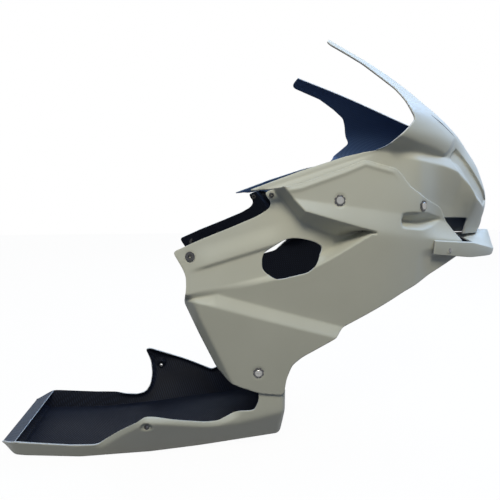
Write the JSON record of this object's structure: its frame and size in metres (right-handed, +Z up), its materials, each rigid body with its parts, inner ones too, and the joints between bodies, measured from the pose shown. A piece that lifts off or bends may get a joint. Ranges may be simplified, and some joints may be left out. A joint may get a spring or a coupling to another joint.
{
  "type": "motorcycle fairing",
  "caption": "Race fairing for a sport motorcycle: nose cowl with windscreen arms, vented side panels, ram-air chin and belly pan, held by quarter-turn fasteners.",
  "frame": {"origin": "on the centre plane, midway between the two bolt holes of the belly pan", "axes": "+X towards the nose, +Y to the rider's left, +Z up"},
  "size_m": [1.2316, 0.4202, 0.9166],
  "materials": {
    "gelcoat": "satin white gelcoat on glass laminate, dark inside",
    "laminate": "grey glass laminate",
    "zinc": "zinc plated",
    "spring_steel": "plain spring steel",
    "rivet": "plain",
    "rubber": "matt"
  },
  "bodies": {
    "root": {"nose_fairing": "gelcoat", "side_panel_right": "gelcoat", "side_panel_left": "gelcoat", "belly_pan": "gelcoat", "intake_chin": "gelcoat", "intake_duct": "laminate", "quarter_turn_studs": "zinc", "rosette_washers": "zinc", "receptacles": "spring_steel", "receptacle_rivets": "rivet", "rear_grommets": "rubber", "rear_sleeves": "zinc", "tab_grommets": "rubber", "tab_sleeves": "zinc", "belly_bushes": "zinc", "chin_rivets": "rivet"}
  },
  "joints": []
}
